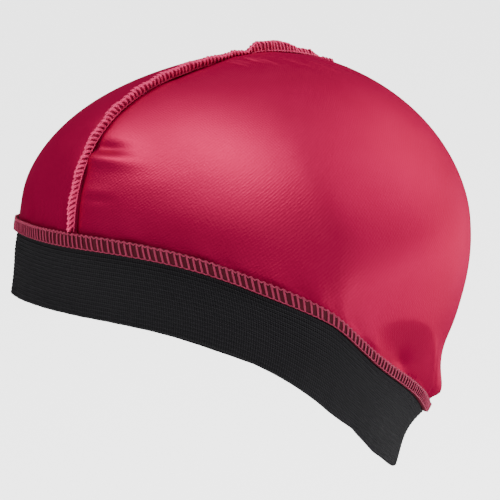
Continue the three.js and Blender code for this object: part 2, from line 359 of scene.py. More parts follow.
def surface_point(turn, drop, offset):
    """A point offset millimetres outside the form, in the cap's frame."""
    offset = np.asarray(offset)[..., None]
    point = form_point(turn, drop) + form_normal(turn, drop) * offset
    return point - np.array([0, 0, CROWN_HEIGHT - SATIN_WALL])


def rim_height(turn):
    """Height of the rim at an angle round the head: low at the nape and the ears."""
    level = RIM_SLOPE * np.cos(turn) - RIM_DROP
    curve = RIM_SADDLE * np.cos(2 * turn) + RIM_BOW * np.cos(3 * turn)
    askew = RIM_LEFT_DROP * np.sin(turn) - RIM_TWIST_DROP * np.sin(2 * turn)
    away = (np.abs(turn) - EAR_DIP["at"]) / EAR_DIP["spread"]
    return level - curve - askew - RIM_EAR_DROP * np.exp(-away * away)


def seam_height(turn):
    """Height of the band seam, which narrows toward the nape."""
    narrow = risen(np.abs(turn), SEAM_NARROWS["from"], SEAM_NARROWS["to"])
    return mix(BAND_SEAM_HEIGHT, BAND_SEAM_NAPE_HEIGHT, narrow)


def side_run(turn):
    """How much longer the way up the form is than square across the band."""
    away = np.abs(turn)
    gained = risen(away, SIDE_RUN["from"], SIDE_RUN["full"])
    return 1 + SIDE_RUN["most"] * gained * (1 - risen(away, SIDE_RUN["full"], SIDE_RUN["spent"]))


def nape_share(turn):
    """How much of the nape's form shows at an angle round the head."""
    away = np.abs(turn)
    begun = risen(away, NAPE_TURN["from"], NAPE_TURN["full"])
    return begun * (1 - risen(away, NAPE_TURN["fades"], NAPE_TURN["end"]))


def nape_offset(turn, distance):
    """How far band and seam stand out over the nape at a distance above the rim."""
    share = np.clip(distance / ELASTIC_WIDTH, 0, 1)
    hollow = NAPE_HOLLOW * np.sin(math.pi * share ** NAPE_FORM["lift"])
    return nape_share(turn) * (NAPE_FLARE * share * share - hollow)


def climb(turns, distances):
    """Drop angle at each distance above the rim, square across the band: a row for each turn."""
    turns = np.atleast_1d(turns)
    start = drop_at_height(rim_height(turns))
    shares = np.linspace(0, 1, CLIMB_STEPS)
    drops = start[:, None] * (1 - shares)
    points = form_point(turns[:, None], drops)
    steps = np.linalg.norm(np.diff(points, axis=1), axis=-1)
    lengths = np.concatenate([np.zeros((len(turns), 1)), np.cumsum(steps, axis=1)], axis=1)
    distances = np.broadcast_to(distances, (len(turns), np.shape(distances)[-1]))
    distances = distances * side_run(turns)[:, None]
    return np.stack([np.interp(d, l, r) for d, l, r in zip(distances, lengths, drops)])


def cloth_plane(points, side):
    """Where the points of a panel lie in its flat cloth, opened out from the side of the head."""
    ray = unit(points - CLOTH_CENTRE)
    reach = CLOTH_RADIUS * np.arccos(np.clip(side * ray[..., 0], -1, 1))
    around = np.arctan2(ray[..., 2], ray[..., 1])
    return np.stack([reach * np.cos(around), reach * np.sin(around)], -1)


def new_mesh(name, vertices, faces, uvs, material):
    """A smooth mesh piece from points in millimetres, with a cloth coordinate for each point."""
    mesh = bpy.data.meshes.new(name)
    mesh.from_pydata((np.asarray(vertices) * MM).tolist(), [], faces)
    layer = mesh.uv_layers.new(name="cloth")
    corners = np.empty(len(mesh.loops), dtype=np.int32)
    mesh.loops.foreach_get("vertex_index", corners)
    layer.data.foreach_set("uv", (np.asarray(uvs) * MM)[corners].astype(np.float32).ravel())
    mesh.polygons.foreach_set("use_smooth", [True] * len(mesh.polygons))
    mesh.materials.append(material)
    mesh.update()
    piece = bpy.data.objects.new(name, mesh)
    bpy.context.collection.objects.link(piece)
    return piece


def grid_faces(rows, columns, first, wrap_rows=False, wrap_columns=False, flip=False):
    """Four-sided faces of a grid of points numbered row by row from first."""
    i = np.arange(rows if wrap_rows else rows - 1)[:, None]
    j = np.arange(columns if wrap_columns else columns - 1)[None, :]
    i, j = np.broadcast_arrays(i, j)
    next_i, next_j = (i + 1) % rows, (j + 1) % columns
    a = i * columns + j
    b = next_i * columns + j
    c = next_i * columns + next_j
    d = i * columns + next_j
    order = [a, d, c, b] if flip else [a, b, c, d]
    return (first + np.stack(order, -1).reshape(-1, 4)).tolist()


def frames_along(path, closed):
    """Direction of travel at each point of a path."""
    if closed:
        ahead = np.roll(path, -1, axis=-2) - np.roll(path, 1, axis=-2)
    else:
        ahead = np.gradient(path, axis=-2)
    return unit(ahead)


def tubes(paths, outs, radius, sides, closed=False, flatten=1.0):
    """Round threads along paths of shape (threads, points, 3), as (vertices, faces, uvs).
    outs is the direction away from the cloth, and flatten squashes the thread along it."""
    count, length = paths.shape[:2]
    ahead = frames_along(paths, closed)
    aside = unit(np.cross(ahead, outs))
    lift = unit(np.cross(aside, ahead))
    angle = np.arange(sides) * 2 * math.pi / sides
    ring = aside[:, :, None] * np.cos(angle)[:, None]
    ring = ring + lift[:, :, None] * (np.sin(angle) * flatten)[:, None]
    vertices = (paths[:, :, None] + ring * radius).reshape(-1, 3)
    faces = []
    for i in range(count):
        first = i * length * sides
        faces += grid_faces(length, sides, first, closed, True)
        if not closed:
            faces.append([first + j for j in reversed(range(sides))])
            last = first + (length - 1) * sides
            faces.append([last + j for j in range(sides)])
    travelled = np.linalg.norm(np.diff(paths, axis=1), axis=-1)
    travelled = np.concatenate([np.zeros((count, 1)), np.cumsum(travelled, axis=1)], axis=1)
    u = np.broadcast_to(travelled[:, :, None], (count, length, sides))
    v = np.broadcast_to(angle * radius, (count, length, sides))
    return vertices, faces, np.stack([u, v], -1).reshape(-1, 2)


def joined(parts):
    """Several (vertices, faces, uvs) as one."""
    vertices, faces, uvs, first = [], [], [], 0
    for some, corners, plane in parts:
        vertices.append(some)
        faces += [[first + k for k in face] for face in corners]
        uvs.append(plane)
        first += len(some)
    return np.concatenate(vertices), faces, np.concatenate(uvs)


# Broad dents and swells of the satin. side: 1 left panel, -1 right panel. turn and across
# are degrees round the head, up and along shares of the way from the band to the crown top,
# depth a share of FOLD_DEPTH, outward positive. A firm one has straight flanks and a clear
# edge, and runs on behind the band seam.
FOLDS = table(
    "name side turn up across along depth firm",
    ("nape dent", 1, 105, 0.05, 7, 0.055, -1.6, True),
    ("nape swell", 1, 136, 0.05, 9, 0.026, 1, False),
    ("nape waist", 1, 132, 0.14, 12, 0.03, -0.3, False),
    ("back fullness", 1, 128, 0.33, 26, 0.09, 0.35, False),
    ("brow ridge", 1, 8, 0.385, 10, 0.027, 0.38, False),
    ("brow hollow", 1, 8, 0.438, 7, 0.022, -0.42, False),
    ("far brow hollow", -1, 22, 0.3, 12, 0.12, -0.4, False),
)

# Small creases, each a straight line in the cloth from start to end, two places given as
# (degrees round the head, share of the way up). width and depth in millimetres.
CREASES = table(
    "side start end width depth",
    (1, (2, 0.2), (16, 0.215), 2.2, -0.3),
    (1, (2, 0.235), (15, 0.25), 3, 0.25),
    (1, (20, 0.3), (42, 0.34), 6, 0.15),
    (1, (70, 0.955), (92, 0.885), 1.8, -0.4),
    (1, (80, 0.965), (100, 0.9), 1.8, 0.3),
    (1, (112, 0.97), (110, 0.89), 1.8, -0.5),
    (1, (128, 0.96), (117, 0.87), 2.2, 0.4),
    (1, (145, 0.93), (128, 0.82), 3.2, -0.5),
    (1, (152, 0.9), (138, 0.79), 3, 0.35),
    (1, (160, 0.88), (146, 0.75), 3.2, -0.35),
    (1, (119, 0.11), (127, 0.015), 1.4, -0.9),
    (1, (115, 0.13), (123, 0.02), 1.8, 0.6),
    (-1, (0, 0.5), (30, 0.42), 6, -0.6),
)

# The seam fin from the forehead (at 0) to the nape (at 1). height is a share of FIN_HEIGHT,
# lean degrees toward the wearer's left, wave a share of FIN_WALL, and sink the millimetres
# that its root lies below the plain form.
FIN_STATIONS = table(
    "at height lean wave sink",
    (0, 0.5, -5, 0, 0.5),
    (0.09, 0.55, 0, 0.03, 0.5),
    (0.14, 0.7, 12, 0.08, 0.7),
    (0.19, 0.82, 28, 0.05, 1.1),
    (0.26, 0.82, 28, 0, 1.5),
    (0.33, 0.66, 40, 0.05, 1.8),
    (0.356, 0.52, 35, 0.1, 1.9),
    (0.38, 0.85, 5, 0.1, 0.9),
    (0.41, 0.9, 0, 0.1, 0.8),
    (0.45, 0.55, -20, 0.15, 1),
    (0.5, 0.42, -55, 0.2, 1.3),
    (0.62, 0.65, -45, 0.15, 1.1),
    (0.75, 0.8, 25, 0.1, 0.9),
    (1, 0.65, 10, 0, 0.9),
)

# Section of the band seam's sewn edges. across is a share of the seam's height, and inside goes
# from 0 on the outer face to 1 on the inner.
FLANGE_SECTION = table(
    "across inside",
    (-0.08, 1),
    (-0.08, 0.4),
    (0, 0),
    (0.15, 0),
    (0.3, 0),
    (0.5, 0),
    (0.7, 0),
    (0.85, 0),
    (0.95, 0),
    (1, 0.35),
    (1, 0.8),
    (0.95, 1),
    (0.5, 1),
    (-0.04, 1),
)

# Section of one face of the fin from its root up. up is a share of its height, and across a
# share of FIN_WALL / 2.
FIN_SECTION = table(
    "up across",
    (0, 1),
    (0.1, FIN_BELLY),
    (0.3, 0.55),
    (0.5, 0.6),
    (0.7, FIN_BELLY),
    (0.85, 0.6),
    (0.94, 0.42),
    (0.98, 0.15),
)

# Fineness
PANEL_COLUMNS = 260
PANEL_ROWS = 150
BAND_COLUMNS = 420
BAND_RIBS = 17
RIB_STEPS = 6
BAND_INNER_ROWS = 18
FLANGE_COLUMNS = 900
FIN_STEPS = 900
STITCH_POINTS = 9
LINE_POINTS = 4  # for each stitch that a line of thread passes
SEAM_PATH_STEPS = 600
BAND_PATH_STEPS = 2001
THREAD_SIDES = 6
CLIMB_STEPS = 241


def fin_value(name, at):
    """A value of the seam fin between its stations."""
    stations, values = column(FIN_STATIONS, "at"), column(FIN_STATIONS, name)
    i = np.clip(np.searchsorted(stations, at, side="right") - 1, 0, len(stations) - 2)
    start, end = np.take(stations, i), np.take(stations, i + 1)
    share = smooth(clamp_share((at - start) / (end - start)))
    return values[i] + (values[i + 1] - values[i]) * share


def place_in_cloth(side, turn, up):
    """A place given by degrees round the head and share up, as a point in the flat cloth."""
    turns = np.array([side * turn * DEGREE])
    low = climb(turns, [ELASTIC_WIDTH])[0, 0]
    return cloth_plane(surface_point(turns, np.array([low * (1 - up)]), 0), side)[0]


def fold_offset(side, turn, up, bare):
    """How far the folds move the satin. All but the firm ones fade out at the band seam."""
    fade = smooth(clamp_share((up - bare) / FOLD_FADE))
    offset = np.zeros(np.broadcast(turn, up).shape)
    for fold in [row for row in FOLDS if row["side"] == side]:
        a = (np.abs(turn) / DEGREE - fold["turn"]) / fold["across"]
        b = (up - fold["up"]) / fold["along"]
        if fold["firm"]:
            away = np.sqrt(a * a + b * b + FIRM_FOLD["blunt"])
            shape = clamp_share(1 - away / FIRM_FOLD["reach"]) ** FIRM_FOLD["curve"]
        else:
            shape = np.exp(-(a * a + b * b) / 2) * fade
        offset += FOLD_DEPTH * fold["depth"] * shape
    return offset


def flare_offset(turn, up):
    """How far the satin stands out with the band's top edge over the nape."""
    return NAPE_FLARE * nape_share(turn) * (1 - smooth(clamp_share(up / NAPE_FORM["rise"])))


def crease_offset(side, plane):
    """How far the small creases move the satin."""
    offset = np.zeros(plane.shape[:-1])
    for row in [row for row in CREASES if row["side"] == side]:
        start, end = (place_in_cloth(side, *row[key]) for key in ("start", "end"))
        run = end - start
        length = np.linalg.norm(run)
        along = ((plane - start) @ run) / length**2
        beside = np.linalg.norm(plane - start - np.clip(along, 0, 1)[..., None] * run, axis=-1)
        ends = smooth(clamp_share(1 - np.abs(along - 0.5) * CREASE_END_FADE))
        offset += row["depth"] * np.exp(-((beside / row["width"]) ** 2)) * ends
    return offset


def waves(rows, travel, side=1):
    """Waves along a seam added up, with other phases on the right panel."""
    return sum(row["share"] * np.sin(travel / row["run"] + row["phase"] * side) for row in rows)


def seam_offset(side, seam_distance, travel):
    """The satin is drawn in where the centre seam is sewn, with small puckers beside it.
    It is drawn in deepest low on the forehead, and widest on the left just before the crown."""

    def drawn(depth, reach):
        return depth * np.exp(-((seam_distance / reach) ** 2))

    draw = sum(drawn(row["depth"], row["reach"]) for row in SEAM_DRAW)
    low_front = smooth(clamp_share((BROW_DRAW["travel"] - travel) / BROW_DRAW["over"]))
    draw = draw + low_front * drawn(BROW_DRAW["depth"], BROW_DRAW["reach"])
    if side > 0:
        crown = np.exp(-(((travel - CROWN_DRAW["travel"]) / CROWN_DRAW["spread"]) ** 2))
        draw = draw + crown * drawn(CROWN_DRAW["depth"], CROWN_DRAW["reach"])
    wave = waves(PUCKER_WAVES, travel, side) * (PUCKER["least"] + waves(PUCKER_SWELL, travel, side))
    reach = PUCKER["reach"] + PUCKER["more_reach"] * waves(PUCKER_SPREAD, travel, side) ** 2
    return wave * drawn(PUCKER["depth"], reach) * (seam_distance > 0) - draw


def band_offset(distance, turn):
    """Gathers of the satin just above the band seam."""
    wave = waves(GATHER_WAVES, turn * MEAN_RADIUS)
    above = distance - BAND_SEAM_HEIGHT
    near = np.exp(-((above / GATHER["height"]) ** 2)) * smooth(clamp_share(above / GATHER["begins"]))
    return GATHER["depth"] * wave * near


def crown_panel(name, side, material):
    """A satin panel with its folds, as an outer and an inner skin."""
    turns = side * np.linspace(0, HALF_TURN, PANEL_COLUMNS + 1)
    marks = np.stack([0 * turns, seam_height(turns) + GAP], -1) + ELASTIC_WIDTH + SATIN_TUCK
    marks = climb(turns, marks)
    low, bare = marks[:, :1], 1 - marks[:, 1:] / marks[:, :1]
    share = np.linspace(0, 1, PANEL_ROWS + 1)[1:]
    drop = low * share
    turn = np.broadcast_to(turns[:, None], drop.shape)
    plain = surface_point(turn, drop, 0 * drop)
    plane = cloth_plane(plain, side)
    above_band = np.linalg.norm(np.diff(plain, axis=1), axis=-1)
    above_band = np.cumsum(above_band[:, ::-1], axis=1)[:, ::-1]
    above_band = np.concatenate([above_band, 0 * low], axis=1)
    offset = fold_offset(side, turn, 1 - share, bare)
    offset = offset + crease_offset(side, plane)
    offset = offset + seam_offset(side, np.abs(plain[..., 0]), plain[..., 1] + plain[..., 2])
    offset = offset + band_offset(above_band, turn)
    sewn_down = smooth(clamp_share((1 - share) / bare))
    offset = offset * sewn_down + flare_offset(turn, 1 - share)
    parts = []
    for depth, flip in ((0, side < 0), (-SATIN_WALL, side > 0)):
        points = surface_point(turn, drop, offset + depth)
        points[..., 0] = side * np.maximum(side * points[..., 0], GAP / 2)
        faces = grid_faces(*drop.shape, 0, flip=flip)
        parts.append((points.reshape(-1, 3), faces, plane.reshape(-1, 2)))
    vertices, faces, uvs = joined(parts)
    return close_panel(name, vertices, faces, uvs, drop.shape, side, material)


def close_panel(name, vertices, faces, uvs, shape, side, material):
    """Adds the crown tip and the edge faces between a panel's outer and inner skin."""
    columns, rows = shape
    count = columns * rows
    tips = [[side * GAP / 2, 0, z - CROWN_TIP_SINK] for z in (SATIN_WALL, 0)]
    vertices = np.concatenate([vertices, tips])
    uvs = np.concatenate([uvs, cloth_plane(np.array(tips), side)])
    outer_tip, inner_tip = 2 * count, 2 * count + 1
    index = np.arange(count).reshape(columns, rows)
    rim = [*index[:, -1]]
    edge = [*index[0, ::-1]] + [outer_tip] + [*index[-1, :]]
    inner_edge = [k + count for k in index[0, ::-1]] + [inner_tip] + [k + count for k in index[-1, :]]
    new = []
    for i in range(columns - 1):
        new.append([outer_tip, index[i, 0], index[i + 1, 0]])
        new.append([inner_tip, index[i + 1, 0] + count, index[i, 0] + count])
        new.append([rim[i], rim[i] + count, rim[i + 1] + count, rim[i + 1]])
    for i in range(len(edge) - 1):
        new.append([edge[i], edge[i + 1], inner_edge[i + 1], inner_edge[i]])
    if side < 0:
        new = [face[::-1] for face in new]
    faces += [[int(k) for k in face] for face in new]
    return new_mesh(name, vertices, faces, uvs, material)


def ring_section(turns, low, high, rows, offsets):
    """Rows of points round the head between two heights above the rim."""
    heights = np.linspace(low, high, rows)
    drop = climb(turns, heights)
    offsets = offsets + nape_offset(turns[:, None], heights[None, :])
    return surface_point(turns[:, None], drop, offsets), heights


def elastic_band(name, material):
    """The elastic ring, with its ribs outside."""
    turns = np.linspace(-HALF_TURN, HALF_TURN, BAND_COLUMNS, endpoint=False)
    rows = BAND_RIBS * RIB_STEPS + 1
    across = np.linspace(0, 1, rows)
    groove = GROOVE_DEPTH * (1 - np.abs(np.sin(across * BAND_RIBS * math.pi)) ** RIB_ROUND)
    edge = EDGE_DEPTH * np.exp(-((across / EDGE_SHARE) ** 2))
    top = EDGE_DEPTH * np.exp(-(((1 - across) / EDGE_SHARE) ** 2))
    wave = sum(row["depth"] * np.sin(turns * row["count"] + row["phase"]) for row in RIM_WAVES)
    outside = wave[:, None] * (1 - across) ** RIM_WAVE_FADE - groove - edge - top
    outer, heights = ring_section(turns, 0, ELASTIC_WIDTH, rows, outside)
    inner, inner_heights = ring_section(turns, ELASTIC_WIDTH, 0, BAND_INNER_ROWS, -ELASTIC_WALL)
    section = np.concatenate([outer, inner], axis=1)
    travel = np.linalg.norm(np.diff(outer[:, rows // 2], axis=0, append=outer[:1, rows // 2]), axis=-1)
    travel = np.concatenate([[0], np.cumsum(travel)[:-1]])
    up = np.concatenate([heights, 2 * ELASTIC_WIDTH - inner_heights])
    uvs = np.stack(np.broadcast_arrays(travel[:, None], up[None, :]), -1)
    faces = grid_faces(len(turns), section.shape[1], 0, True, True, flip=True)
    return new_mesh(name, section.reshape(-1, 3), faces, uvs.reshape(-1, 2), material)


def flange_lift(turns, across):
    """How far the band seam's sewn edges stand off the cap: more at their free upper edge."""
    ripple = FLANGE_FORM["mean"] + waves(FLANGE_WAVES, turns * MEAN_RADIUS)
    further = FLANGE_FORM["further"] * np.maximum(across, 0) ** FLANGE_FORM["late"] * ripple
    return GAP + BAND_SEAM_WALL * (FLANGE_FORM["least"] + further)


def band_flange(name, material):
    """The sewn edges that join crown and band, outside all round."""
    turns = np.linspace(-HALF_TURN, HALF_TURN, FLANGE_COLUMNS, endpoint=False)[:, None]
    across, inside = column(FLANGE_SECTION, "across"), column(FLANGE_SECTION, "inside")
    under = np.where(across < FLANGE_FORM["foot"], -FLANGE_FOOT, GAP)
    lift = flange_lift(turns, across[None, :]) * (1 - inside) + under * inside
    drop = climb(turns[:, 0], ELASTIC_WIDTH + seam_height(turns) * across)
    points = surface_point(turns, drop, lift + NAPE_FLARE * nape_share(turns))
    travel = np.broadcast_to(turns * MEAN_RADIUS, lift.shape)
    up = np.broadcast_to(across * BAND_SEAM_HEIGHT + inside * FLANGE_CLOTH_SHIFT, lift.shape)
    faces = grid_faces(len(turns), len(across), 0, True, True, flip=True)
    uvs = np.stack([travel, up], -1).reshape(-1, 2)
    return new_mesh(name, points.reshape(-1, 3), faces, uvs, material)


def flange_place(turns, across, lift):
    """Points on the flange's outer face, lift millimetres off it, and the direction outward."""
    shape = turns.shape
    flat_turns, flat_across = turns.ravel(), np.broadcast_to(across, shape).ravel()
    heights = (ELASTIC_WIDTH + seam_height(flat_turns) * flat_across)[:, None]
    drop = climb(flat_turns, heights)[:, 0]
    off = flange_lift(flat_turns, flat_across) + np.broadcast_to(lift, shape).ravel()
    points = surface_point(flat_turns, drop, off + NAPE_FLARE * nape_share(flat_turns))
    return points.reshape(*shape, 3), form_normal(flat_turns, drop).reshape(*shape, 3)


def band_thread(name, material):
    """Slanting cross stitches over the flange, between a line of thread along each edge."""
    form = BAND_STITCH
    random = np.random.default_rng(seed=7)
    even = np.linspace(-HALF_TURN, HALF_TURN, BAND_PATH_STEPS)
    ring, _ = ring_section(even, ELASTIC_WIDTH, ELASTIC_WIDTH, rows=1, offsets=BAND_MEASURE_LIFT)
    travel = np.concatenate([[0], np.cumsum(np.linalg.norm(np.diff(ring[:, 0], axis=0), axis=-1))])
    count = int(travel[-1] / BAND_PITCH)
    starts = (np.arange(count) + random.normal(0, form["uneven"], count)) * travel[-1] / count
    along = np.linspace(0, 1, STITCH_POINTS)
    ahead = smooth(1 - np.abs(np.interp(starts, travel, even)) / HALF_TURN)
    slant = mix(form["nape_slant"], form["front_slant"], ahead)
    stray = random.normal(0, form["stray"], count)
    at = starts[:, None] + (along - 0.5) * slant[:, None] + stray[:, None]
    turns = np.interp(at % travel[-1], travel, even)
    across = form["from"] + form["reach"] * along
    lift = form["lift"] + form["arch"] * np.sin(along * math.pi)
    lift = lift - form["tuck"] * (along > form["tucked_from"])
    paths, outs = flange_place(turns, across, lift)
    parts = [tubes(paths, outs, BAND_THREAD, THREAD_SIDES, flatten=form["flatness"])]
    fine = np.linspace(0, travel[-1], LINE_POINTS * count, endpoint=False)
    turn = np.interp(fine, travel, even)[None, :]
    phase = fine[None, :] * 2 * math.pi / BAND_PITCH
    for line in BAND_LINES:
        across = line["across"] + line["wander"] * np.sin(phase)
        lift = BAND_LINE_LIFT["mean"] + BAND_LINE_LIFT["swing"] * np.cos(phase)
        paths, outs = flange_place(turn, across, lift)
        parts.append(tubes(paths, outs, line["radius"], THREAD_SIDES, closed=True))
    vertices, faces, uvs = joined(parts)
    return new_mesh(name, vertices, faces, uvs, material)


def seam_path(steps):
    """The centre seam over the crown as points, outward directions and length travelled."""
    ends = np.array([0, HALF_TURN])
    front, back = climb(ends, (ELASTIC_WIDTH + seam_height(ends) + 2 * GAP)[:, None])[:, 0]
    shares = np.linspace(0, 1, SEAM_PATH_STEPS)
    turn = np.concatenate([0 * shares, 0 * shares[1:] + HALF_TURN])
    drop = np.concatenate([front * shares[::-1], back * shares[1:]])
    points = surface_point(turn, drop, 0 * drop)
    points[:, 0] = 0
    travel = np.concatenate([[0], np.cumsum(np.linalg.norm(np.diff(points, axis=0), axis=-1))])
    even = np.linspace(0, travel[-1], steps)
    path = np.stack([np.interp(even, travel, points[:, k]) for k in range(3)], -1)
    ahead = frames_along(path, False)
    ahead[1:-1] = unit(ahead[:-2] + 2 * ahead[1:-1] + ahead[2:])
    out = unit(np.cross(np.array([1.0, 0, 0]), ahead))
    return path, out, even


def fin_frame(steps):
    """Root, direction of rise, direction across the fin, height and ripple along the seam."""
    path, out, travel = seam_path(steps)
    at = travel / travel[-1]
    lean = fin_value("lean", at) * DEGREE
    height = FIN_HEIGHT * fin_value("height", at)
    phase = at * FIN_WAVES * 2 * math.pi
    fine = FIN_FINE_WAVE["share"] * np.sin(phase * FIN_FINE_WAVE["rate"] + FIN_FINE_WAVE["phase"])
    ripple = FIN_WALL * (np.sin(phase) + fine) * (fin_value("wave", at) + FIN_RIPPLE)
    aside = np.array([1.0, 0, 0])
    rise = out * np.cos(lean)[:, None] + aside * np.sin(lean)[:, None]
    thick = aside * np.cos(lean)[:, None] - out * np.sin(lean)[:, None]
    lift = GAP - fin_value("sink", at) + np.abs(np.sin(lean)) * FIN_WALL / 2
    root = path + out * lift[:, None]
    return root, rise, thick, height, ripple, travel


def fin_place(frame_rows, index, up, across):
    """Points of the fin: up is the share of its height, across the distance off its middle."""

    def between(row):
        return np.interp(index, np.arange(len(row)), row)

    root, rise, thick = (np.stack([between(axis) for axis in row.T], -1) for row in frame_rows[:3])
    height, ripple = (between(row) for row in frame_rows[3:5])
    high = (height * up)[..., None]
    return root + rise * high + thick * (ripple * up**1.6 + across)[..., None], rise, thick


def seam_fin(name, material):
    """The sewn edges of both panels, standing up along the centre seam."""
    rows = fin_frame(FIN_STEPS)
    travel = rows[-1]
    up, across = column(FIN_SECTION, "up"), FIN_WALL / 2 * column(FIN_SECTION, "across")
    up, across = np.concatenate([up, up[::-1]]), np.concatenate([across, -across[::-1]])
    index = np.broadcast_to(np.arange(FIN_STEPS)[:, None], (FIN_STEPS, len(up)))
    up_all, across_all = (np.broadcast_to(row, index.shape) for row in (up, across))
    points, _, _ = fin_place(rows, index, up_all, across_all)
    faces = grid_faces(FIN_STEPS, len(up), 0, False, True)
    faces.append(list(range(len(up))))
    last = (FIN_STEPS - 1) * len(up)
    faces.append([last + k for k in reversed(range(len(up)))])
    u = np.broadcast_to(travel[:, None], index.shape)
    v = np.broadcast_to(up * FIN_HEIGHT + across * FIN_CLOTH_SHIFT, index.shape)
    return new_mesh(name, points.reshape(-1, 3), faces, np.stack([u, v], -1).reshape(-1, 2), material)


def fin_thread(name, material):
    """Overlock loops: each thread runs up one face of the fin, over its edge and down the other."""
    form = SEAM_STITCH
    random = np.random.default_rng(seed=11)
    rows = fin_frame(FIN_STEPS)
    travel = rows[-1]
    count = int(travel[-1] / SEAM_PITCH)
    starts = (np.arange(count) + 0.5 + random.normal(0, form["uneven"], count)) * travel[-1] / count
    around = np.linspace(-1, 1, 2 * STITCH_POINTS - 1)
    up = form["top"] - form["drop"] * np.abs(around) ** form["late"]
    belly = FIN_WALL / 2 * FIN_BELLY
    aside = np.sign(around) * np.minimum(np.abs(around) * form["steep"], 1)
    across = aside * (belly + form["lift"])
    slant = SEAM_PITCH * (form["slant"] * around + form["bend"] * np.abs(around))
    at = starts[:, None] + slant + random.normal(0, form["stray"], (count, 1))
    index = np.clip(np.interp(at, travel, np.arange(FIN_STEPS)), 0, FIN_STEPS - 1)
    up, across = np.broadcast_to(up, index.shape), np.broadcast_to(across, index.shape)
    paths, rise, thick = fin_place(rows, index, up, across)
    outs = unit(thick * np.clip(across, -1, 1)[..., None] + form["rise_share"] * rise)
    parts = [tubes(paths, outs, SEAM_THREAD, THREAD_SIDES, flatten=form["flatness"])]
    fine = np.linspace(0, travel[-1], LINE_POINTS * count)
    index = np.interp(fine, travel, np.arange(FIN_STEPS))[None, :]
    phase = fine * 2 * math.pi / SEAM_PITCH
    foot = SEAM_LINE["foot"] + SEAM_LINE["foot_wander"] * np.sin(phase)
    beside = belly + SEAM_LINE["foot_lift"] + 0 * phase
    lines = (
        (1 + 0 * phase, SEAM_LINE["edge_wander"] * np.sin(phase), SEAM_EDGE_THREAD),
        (foot, beside, SEAM_FOOT_THREAD),
        (foot, -beside, SEAM_FOOT_THREAD),
    )
    for up, across, radius in lines:
        paths, rise, thick = fin_place(rows, index, up[None, :], across[None, :])
        parts.append(tubes(paths, rise, radius, THREAD_SIDES))
    vertices, faces, uvs = joined(parts)
    return new_mesh(name, vertices, faces, uvs, material)


def material_nodes(name, **sockets):
    """A new material with its shader's sockets set, as (material, nodes, links, shader)."""
    material = bpy.data.materials.new(name)
    material.use_nodes = True
    nodes, links = material.node_tree.nodes, material.node_tree.links
    shader = nodes["Principled BSDF"]
    for key, value in sockets.items():
        shader.inputs[key.replace("_", " ")].default_value = value
    return material, nodes, links, shader


def add_node(nodes, kind, **values):
    node = nodes.new(kind)
    for key, value in values.items():
        if key in node.inputs:
            node.inputs[key].default_value = value
        else:
            setattr(node, key, value)
    return node


# The wave texture repeats every WAVE_PERIOD at a scale of one.
WAVE_PERIOD = math.pi / 10


def bands(nodes, links, source, angle, pitch, distortion):
    """Fine lines across the flat cloth: pitch in metres from one to the next."""
    turned = add_node(nodes, "ShaderNodeMapping")
    turned.inputs["Rotation"].default_value = (0, 0, angle * DEGREE)
    links.new(source, turned.inputs["Vector"])
    scale = WAVE_PERIOD / pitch
    wave = add_node(nodes, "ShaderNodeTexWave", Scale=scale, Distortion=distortion, Detail=1.0)
    wave.inputs["Detail Scale"].default_value = 2
    links.new(turned.outputs["Vector"], wave.inputs["Vector"])
    return wave.outputs["Fac"]


def mixed(nodes, links, factor, dark, light):
    ramp = nodes.new("ShaderNodeMixRGB")
    ramp.inputs["Color1"].default_value = (*dark, 1)
    ramp.inputs["Color2"].default_value = (*light, 1)
    links.new(factor, ramp.inputs["Fac"])
    return ramp.outputs["Color"]


def ranged(nodes, links, factor, low, high):
    span = nodes.new("ShaderNodeMapRange")
    span.inputs["To Min"].default_value = low
    span.inputs["To Max"].default_value = high
    links.new(factor, span.inputs["Value"])
    return span.outputs["Result"]


def bumped(nodes, links, shader, layers):
    """A chain of bumps: each layer is (height output, distance in metres, strength)."""
    normal = None
    for height, distance, strength in layers:
        bump = add_node(nodes, "ShaderNodeBump", Strength=strength, Distance=distance)
        links.new(height, bump.inputs["Height"])
        if normal is not None:
            links.new(normal, bump.inputs["Normal"])
        normal = bump.outputs["Normal"]
    links.new(normal, shader.inputs["Normal"])


def noise(nodes, links, source, scale, detail=3, stretch=(1, 1, 1)):
    spread = add_node(nodes, "ShaderNodeMapping")
    spread.inputs["Scale"].default_value = stretch
    links.new(source, spread.inputs["Vector"])
    cloud = add_node(nodes, "ShaderNodeTexNoise", Scale=scale, Detail=detail)
    links.new(spread.outputs["Vector"], cloud.inputs["Vector"])
    return cloud.outputs["Fac"]


def satin_material():
    material, nodes, links, shader = material_nodes(
        "satin",
        Metallic=0.8,
        Specular_IOR_Level=0.04,
        Specular_Tint=(0.8, 0.08, 0.42, 1),
    )
    cloth = nodes.new("ShaderNodeTexCoord").outputs["UV"]
    lines = bands(nodes, links, cloth, angle=62, pitch=0.0011, distortion=1.6)
    cross = bands(nodes, links, cloth, angle=-20, pitch=0.0013, distortion=2)
    grain = noise(nodes, links, cloth, scale=900, detail=2)
    patches = noise(nodes, links, cloth, scale=28, stretch=(1, 1.6, 1))
    base = mixed(nodes, links, patches, *SATIN_COLOURS)
    shade = nodes.new("ShaderNodeMixRGB")
    shade.blend_type = "MULTIPLY"
    shade.inputs["Fac"].default_value = 0.22
    links.new(base, shade.inputs["Color1"])
    links.new(mixed(nodes, links, lines, (0.72, 0.66, 0.7), (1, 1, 1)), shade.inputs["Color2"])
    links.new(shade.outputs["Color"], shader.inputs["Base Color"])
    links.new(ranged(nodes, links, grain, low=0.45, high=0.56), shader.inputs["Roughness"])
    bumped(nodes, links, shader, [(lines, 0.00007, 0.35), (cross, 0.00006, 0.2), (grain, 0.0002, 0.4)])
    return material


